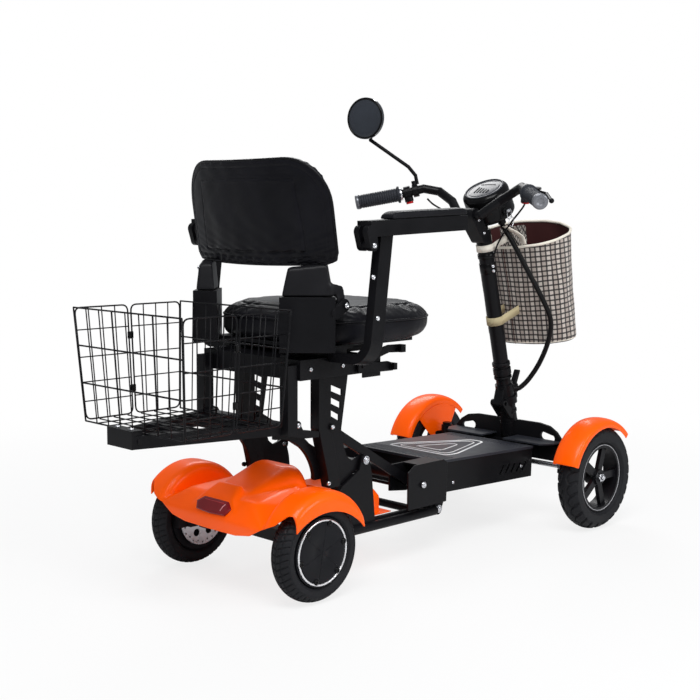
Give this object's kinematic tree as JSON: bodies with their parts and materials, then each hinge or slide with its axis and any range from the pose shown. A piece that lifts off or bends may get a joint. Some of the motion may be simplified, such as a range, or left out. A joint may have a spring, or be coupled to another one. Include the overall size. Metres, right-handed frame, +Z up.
{
  "type": "mobility scooter",
  "caption": "Folding mobility scooter with a padded seat, armrests, glossy orange fenders, a wire crate behind the seat and a gingham bag on the tiller.",
  "frame": {"origin": "middle of the length and width of the bounding box, on the ground under the tyres", "axes": "+X forward, +Y to the driver's left, +Z up"},
  "size_m": [1.3694, 0.594, 1.048],
  "materials": {
    "frame_paint": "satin black powder coat",
    "deck_tread": "satin dark grey",
    "dark_plastic": "satin dark grey",
    "black_plastic": "glossy black",
    "orange_plastic": "glossy orange",
    "lens_red": "clear red",
    "grey_paint": "satin grey",
    "steel": "bright zinc",
    "tyre": "matt",
    "hub_paint": "satin dark grey",
    "rim_paint": "satin black",
    "grip_rubber": "satin grey",
    "cable_rubber": "satin black",
    "leather": "grained black",
    "arm_pad": "grained black foam",
    "display_glass": "silver-white glossy",
    "mirror_glass": "dark glossy",
    "button_red": "glossy red",
    "bag_cloth": "woven gingham, cream with dark lines",
    "strap_cloth": "woven tan webbing"
  },
  "bodies": {
    "chassis": {"deck_tray": "frame_paint", "deck_plate": "deck_tread", "battery_pack": "dark_plastic", "rear_brackets": "frame_paint", "front_beam": "frame_paint", "wing_plates": "grey_paint"},
    "rear_frame": {"rail_frame": "frame_paint", "rear_axle": "steel", "rear_cover": "orange_plastic", "tail_light": "lens_red", "frame_cover": "orange_plastic", "fold_pins": "steel", "brake_caliper": "dark_plastic"},
    "rear_wheel_left": {"rear_tyre_left": "tyre", "hub_motor_left": "hub_paint", "brake_disc": "steel"},
    "rear_wheel_right": {"rear_tyre_right": "tyre", "hub_motor_right": "hub_paint"},
    "front_wheel_left": {"front_tyre_left": "tyre", "front_rim_left": "rim_paint"},
    "front_wheel_right": {"front_tyre_right": "tyre", "front_rim_right": "rim_paint"},
    "left_knuckle": {"knuckle_left": "frame_paint", "front_fender_left": "orange_plastic"},
    "right_knuckle": {"knuckle_right": "frame_paint", "front_fender_right": "orange_plastic"},
    "track_rod": {"tie_rod": "steel"},
    "column_base": {"steering_base": "frame_paint"},
    "tiller": {"stem_tube": "frame_paint", "dash_pod": "black_plastic", "display": "display_glass", "handlebar": "frame_paint", "grips": "grip_rubber", "mirror_arm": "frame_paint", "bag": "bag_cloth", "bag_strap": "strap_cloth", "cables": "cable_rubber"},
    "column_latch": {"stem_latch": "frame_paint"},
    "left_brake": {"brake_lever_left": "frame_paint"},
    "right_brake": {"brake_lever_right": "frame_paint"},
    "thumb_throttle": {"throttle": "dark_plastic"},
    "horn": {"horn_button": "button_red"},
    "speed_selector": {"speed_button": "button_red"},
    "key": {"ignition_key": "steel"},
    "mirror_head": {"rear_view_mirror": "mirror_glass"},
    "seat_frame": {"seat_legs": "frame_paint", "seat_box": "frame_paint", "rack": "frame_paint", "basket": "frame_paint"},
    "link_bars": {"fold_links": "frame_paint"},
    "seat": {"seat_pan": "frame_paint", "seat_cushion": "leather"},
    "back": {"backrest_frame": "dark_plastic", "backrest_pad": "leather"},
    "left_arm": {"armrest_left": "frame_paint", "armrest_pad_left": "arm_pad"},
    "right_arm": {"armrest_right": "frame_paint", "armrest_pad_right": "arm_pad"},
    "slide_handle": {"slide_lever": "frame_paint"},
    "fold_handle": {"fold_lever": "frame_paint"}
  },
  "joints": [
    {"name": "frame_fold", "type": "hinge", "parent": "chassis", "child": "rear_frame", "pos_m": [0.08528, 0, 0.097], "axis": [0, -1, 0], "range_deg": [0, 50]},
    {"name": "link_fold", "type": "hinge", "parent": "chassis", "child": "link_bars", "pos_m": [0.00128, 0, 0.17], "axis": [0, -1, 0], "range_deg": [0, 50]},
    {"name": "leg_fold", "type": "hinge", "parent": "rear_frame", "child": "seat_frame", "pos_m": [-0.15872, 0, 0.245], "axis": [0, -1, 0], "range_deg": [-50, 0]},
    {"name": "column_fold", "type": "hinge", "parent": "column_base", "child": "tiller", "pos_m": [0.47288, 0, 0.282], "axis": [0, -1, 0], "range_deg": [0, 35]},
    {"name": "rear_spin_left", "type": "hinge", "parent": "rear_frame", "child": "rear_wheel_left", "pos_m": [-0.36472, 0.192, 0.1027], "axis": [0, 1, 0], "continuous": true},
    {"name": "rear_spin_right", "type": "hinge", "parent": "rear_frame", "child": "rear_wheel_right", "pos_m": [-0.36472, -0.192, 0.1027], "axis": [0, 1, 0], "continuous": true},
    {"name": "steering", "type": "hinge", "parent": "chassis", "child": "column_base", "pos_m": [0.52428, 0, 0.2], "axis": [-0.2419, 0, 0.9703], "range_deg": [-28, 28]},
    {"name": "kingpin_left", "type": "hinge", "parent": "chassis", "child": "left_knuckle", "pos_m": [0.51328, 0.205, 0.127], "axis": [0, 0, 1], "range_deg": [-28, 28]},
    {"name": "kingpin_right", "type": "hinge", "parent": "chassis", "child": "right_knuckle", "pos_m": [0.51328, -0.205, 0.127], "axis": [0, 0, 1], "range_deg": [-28, 28]},
    {"name": "track_rod_end", "type": "hinge", "parent": "left_knuckle", "child": "track_rod", "pos_m": [0.45828, 0.205, 0.151], "axis": [0, 0, 1], "range_deg": [-28, 28]},
    {"name": "front_spin_left", "type": "hinge", "parent": "left_knuckle", "child": "front_wheel_left", "pos_m": [0.51328, 0.263, 0.127], "axis": [0, 1, 0], "continuous": true},
    {"name": "front_spin_right", "type": "hinge", "parent": "right_knuckle", "child": "front_wheel_right", "pos_m": [0.51328, -0.263, 0.127], "axis": [0, 1, 0], "continuous": true},
    {"name": "latch_swing", "type": "hinge", "parent": "tiller", "child": "column_latch", "pos_m": [0.53068, 0, 0.3232], "axis": [0, -1, 0], "range_deg": [0, 30], "stiffness_Nm_per_rad": 0.3, "springref_deg": -17.19},
    {"name": "brake_squeeze_left", "type": "hinge", "parent": "tiller", "child": "left_brake", "pos_m": [0.34038, 0.2001, 0.815], "axis": [-0.1477, 0.1866, 0.9713], "range_deg": [0, 9], "stiffness_Nm_per_rad": 1, "springref_deg": -14.32},
    {"name": "brake_squeeze_right", "type": "hinge", "parent": "tiller", "child": "right_brake", "pos_m": [0.34038, -0.2001, 0.815], "axis": [0.1477, 0.1866, -0.9713], "range_deg": [0, 9], "stiffness_Nm_per_rad": 1, "springref_deg": -14.32},
    {"name": "throttle_turn", "type": "hinge", "parent": "tiller", "child": "thumb_throttle", "pos_m": [0.34528, -0.152, 0.825], "axis": [0.6029, 0.7615, 0.238], "range_deg": [0, 30], "stiffness_Nm_per_rad": 0.1, "springref_deg": -17.19},
    {"name": "horn_press", "type": "slide", "parent": "tiller", "child": "horn", "axis": [-0.1477, 0.1866, 0.9713], "range_m": [0, 0.003], "stiffness_N_per_m": 100, "springref_m": -0.003},
    {"name": "speed_press", "type": "slide", "parent": "tiller", "child": "speed_selector", "axis": [-0.1477, -0.1866, 0.9713], "range_m": [0, 0.003], "stiffness_N_per_m": 100, "springref_m": -0.003},
    {"name": "key_turn", "type": "hinge", "parent": "tiller", "child": "key", "pos_m": [0.40938, -0.06, 0.7699], "axis": [0, 1, 0], "range_deg": [0, 60]},
    {"name": "mirror_swivel", "type": "hinge", "parent": "tiller", "child": "mirror_head", "pos_m": [0.25161, 0.24885, 0.997], "axis": [0, 0, 1], "range_deg": [-25, 25]},
    {"name": "seat_slide", "type": "slide", "parent": "seat_frame", "child": "seat", "axis": [1, 0, 0], "range_m": [0, 0.06]},
    {"name": "back_fold", "type": "hinge", "parent": "seat", "child": "back", "pos_m": [-0.29872, 0, 0.583], "axis": [0, 1, 0], "range_deg": [0, 85]},
    {"name": "arm_lift_left", "type": "hinge", "parent": "seat", "child": "left_arm", "pos_m": [-0.28672, 0.257, 0.701], "axis": [0, -1, 0], "range_deg": [0, 90]},
    {"name": "arm_lift_right", "type": "hinge", "parent": "seat", "child": "right_arm", "pos_m": [-0.28672, -0.257, 0.701], "axis": [0, -1, 0], "range_deg": [0, 90]},
    {"name": "slide_release", "type": "hinge", "parent": "seat_frame", "child": "slide_handle", "pos_m": [-0.15972, -0.1555, 0.472], "axis": [0, 1, 0], "range_deg": [0, 10], "stiffness_Nm_per_rad": 1, "springref_deg": -17.19},
    {"name": "fold_release", "type": "hinge", "parent": "seat_frame", "child": "fold_handle", "pos_m": [-0.19272, -0.1555, 0.45], "axis": [0, 1, 0], "range_deg": [0, 15], "stiffness_Nm_per_rad": 1, "springref_deg": -17.19}
  ],
  "couplings": [
    {"joint": "link_fold", "follows": "frame_fold", "ratio": 1},
    {"joint": "leg_fold", "follows": "frame_fold", "ratio": -1},
    {"joint": "column_fold", "follows": "frame_fold", "ratio": 0.7},
    {"joint": "kingpin_left", "follows": "steering", "ratio": 1},
    {"joint": "kingpin_right", "follows": "steering", "ratio": 1},
    {"joint": "track_rod_end", "follows": "steering", "ratio": -1}
  ]
}
